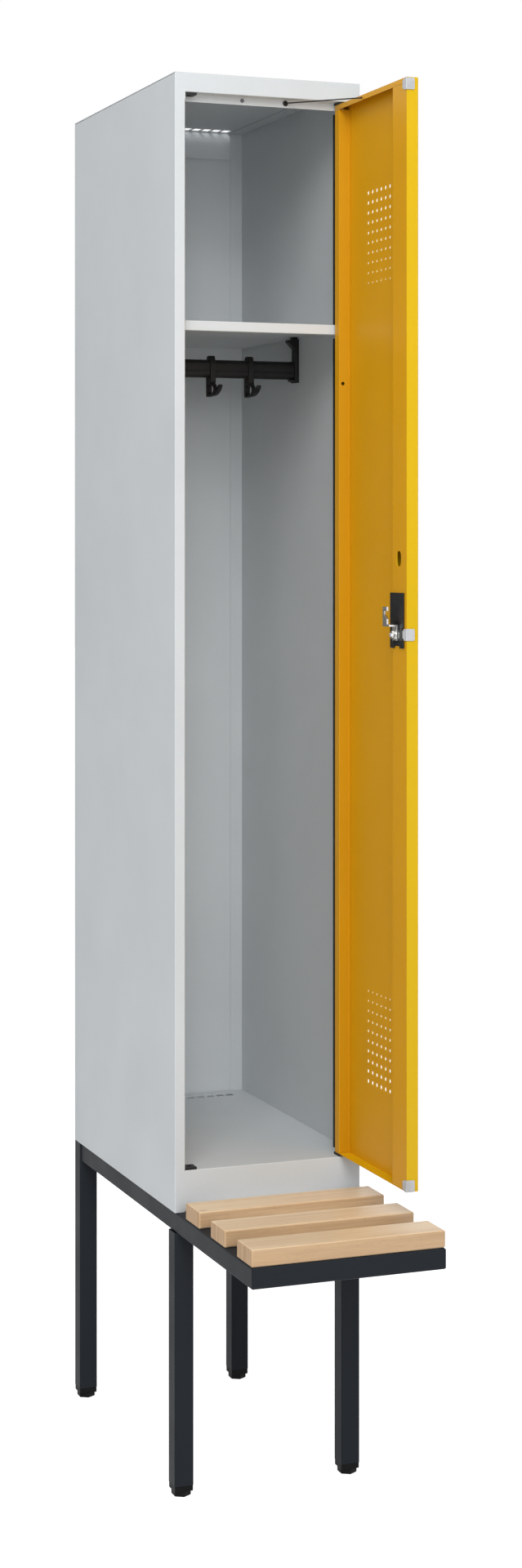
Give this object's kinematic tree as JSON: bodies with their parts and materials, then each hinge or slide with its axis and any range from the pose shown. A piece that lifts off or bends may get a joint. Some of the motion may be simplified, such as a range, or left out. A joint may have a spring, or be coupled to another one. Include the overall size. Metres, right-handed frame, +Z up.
{
  "type": "locker with bench",
  "caption": "Narrow steel locker with an open perforated door, shelf, hook rail and hook cam lock, on a square tube frame that carries a slatted seat in front.",
  "frame": {"origin": "centre of the box around the locker at rest, door open at a right angle, at floor level under the levelling feet", "axes": "+Z up, -Y towards the bench and the open door, +X to the right seen from the front, where the door's hinges are"},
  "size_m": [0.3, 0.808, 2.125],
  "materials": {
    "body_paint": "fine textured powder coat, light grey",
    "door_paint": "fine textured powder coat, yellow",
    "frame_paint": "fine textured powder coat, anthracite",
    "slat_wood": "clear lacquered beech",
    "black_plastic": "moulded, satin",
    "grey_plastic": "moulded, satin",
    "pale_plastic": "moulded, satin, translucent look",
    "black_rubber": "matt flexible cord",
    "nickel": "nickel plated",
    "bright_steel": "zinc plated"
  },
  "bodies": {
    "cabinet": {"side_panel_left": "body_paint", "side_panel_right": "body_paint", "back_panel": "body_paint", "roof_panel": "body_paint", "front_top_rail": "body_paint", "floor_pan": "body_paint", "shelf": "body_paint", "edge_trim_lower": "black_plastic", "edge_trim_upper": "black_plastic", "bearing_lower_left": "black_plastic", "bearing_lower_right": "black_plastic", "bearing_upper_left": "black_plastic", "bearing_upper_right": "black_plastic", "stay_grommet": "black_plastic", "hole_plug": "grey_plastic", "stay_cord": "black_rubber", "hook_rail": "black_plastic", "rail_bracket_left": "black_plastic", "rail_bracket_right": "black_plastic", "leg_front_left": "frame_paint", "leg_front_right": "frame_paint", "leg_rear_left": "frame_paint", "leg_rear_right": "frame_paint", "side_rail_left": "frame_paint", "side_rail_right": "frame_paint", "cross_rail_front": "frame_paint", "cross_rail_rear": "frame_paint", "seat_slat_front": "slat_wood", "seat_slat_middle": "slat_wood", "seat_slat_rear": "slat_wood", "tube_insert_front_left": "black_plastic", "tube_insert_front_right": "black_plastic", "tube_insert_rear_left": "black_plastic", "tube_insert_rear_right": "black_plastic"},
    "door": {"door_shell": "door_paint", "door_channel_hinge": "door_paint", "door_channel_lock": "door_paint", "hinge_pin_upper": "bright_steel", "hinge_pin_lower": "bright_steel", "lock_plate": "black_plastic", "lock_barrel": "nickel", "edge_buffer_lower": "pale_plastic", "edge_buffer_middle": "pale_plastic", "edge_buffer_upper": "pale_plastic"},
    "lock_turn": {"lock_core": "bright_steel", "lock_cam": "nickel", "cam_nut": "nickel"},
    "hook_left": {"coat_hook_left": "black_plastic"},
    "hook_middle": {"coat_hook_middle": "black_plastic"},
    "hook_right": {"coat_hook_right": "black_plastic"},
    "foot_front_left": {"levelling_foot_front_left": "black_plastic"},
    "foot_front_right": {"levelling_foot_front_right": "black_plastic"},
    "foot_rear_left": {"levelling_foot_rear_left": "black_plastic"},
    "foot_rear_right": {"levelling_foot_rear_right": "black_plastic"}
  },
  "joints": [
    {"name": "door_swing", "type": "hinge", "parent": "cabinet", "child": "door", "pos_m": [0.1244, -0.0868, 1.2916], "axis": [0, 0, 1], "range_deg": [-90, 0], "deforming": ["stay_cord"]},
    {"name": "lock_cam_turn", "type": "hinge", "parent": "door", "child": "lock_turn", "pos_m": [0.112, -0.3117, 1.29], "axis": [1, 0, 0], "range_deg": [0, 90]},
    {"name": "hook_left_slide", "type": "slide", "parent": "cabinet", "child": "hook_left", "axis": [1, 0, 0], "range_m": [-0.064, 0.0274]},
    {"name": "hook_middle_slide", "type": "slide", "parent": "cabinet", "child": "hook_middle", "axis": [1, 0, 0], "range_m": [-0.0274, 0.0274]},
    {"name": "hook_right_slide", "type": "slide", "parent": "cabinet", "child": "hook_right", "axis": [1, 0, 0], "range_m": [-0.0274, 0.064]},
    {"name": "foot_front_left_screw", "type": "slide", "parent": "cabinet", "child": "foot_front_left", "axis": [0, 0, -1], "range_m": [0, 0.01]},
    {"name": "foot_front_right_screw", "type": "slide", "parent": "cabinet", "child": "foot_front_right", "axis": [0, 0, -1], "range_m": [0, 0.01]},
    {"name": "foot_rear_left_screw", "type": "slide", "parent": "cabinet", "child": "foot_rear_left", "axis": [0, 0, -1], "range_m": [0, 0.01]},
    {"name": "foot_rear_right_screw", "type": "slide", "parent": "cabinet", "child": "foot_rear_right", "axis": [0, 0, -1], "range_m": [0, 0.01]}
  ]
}
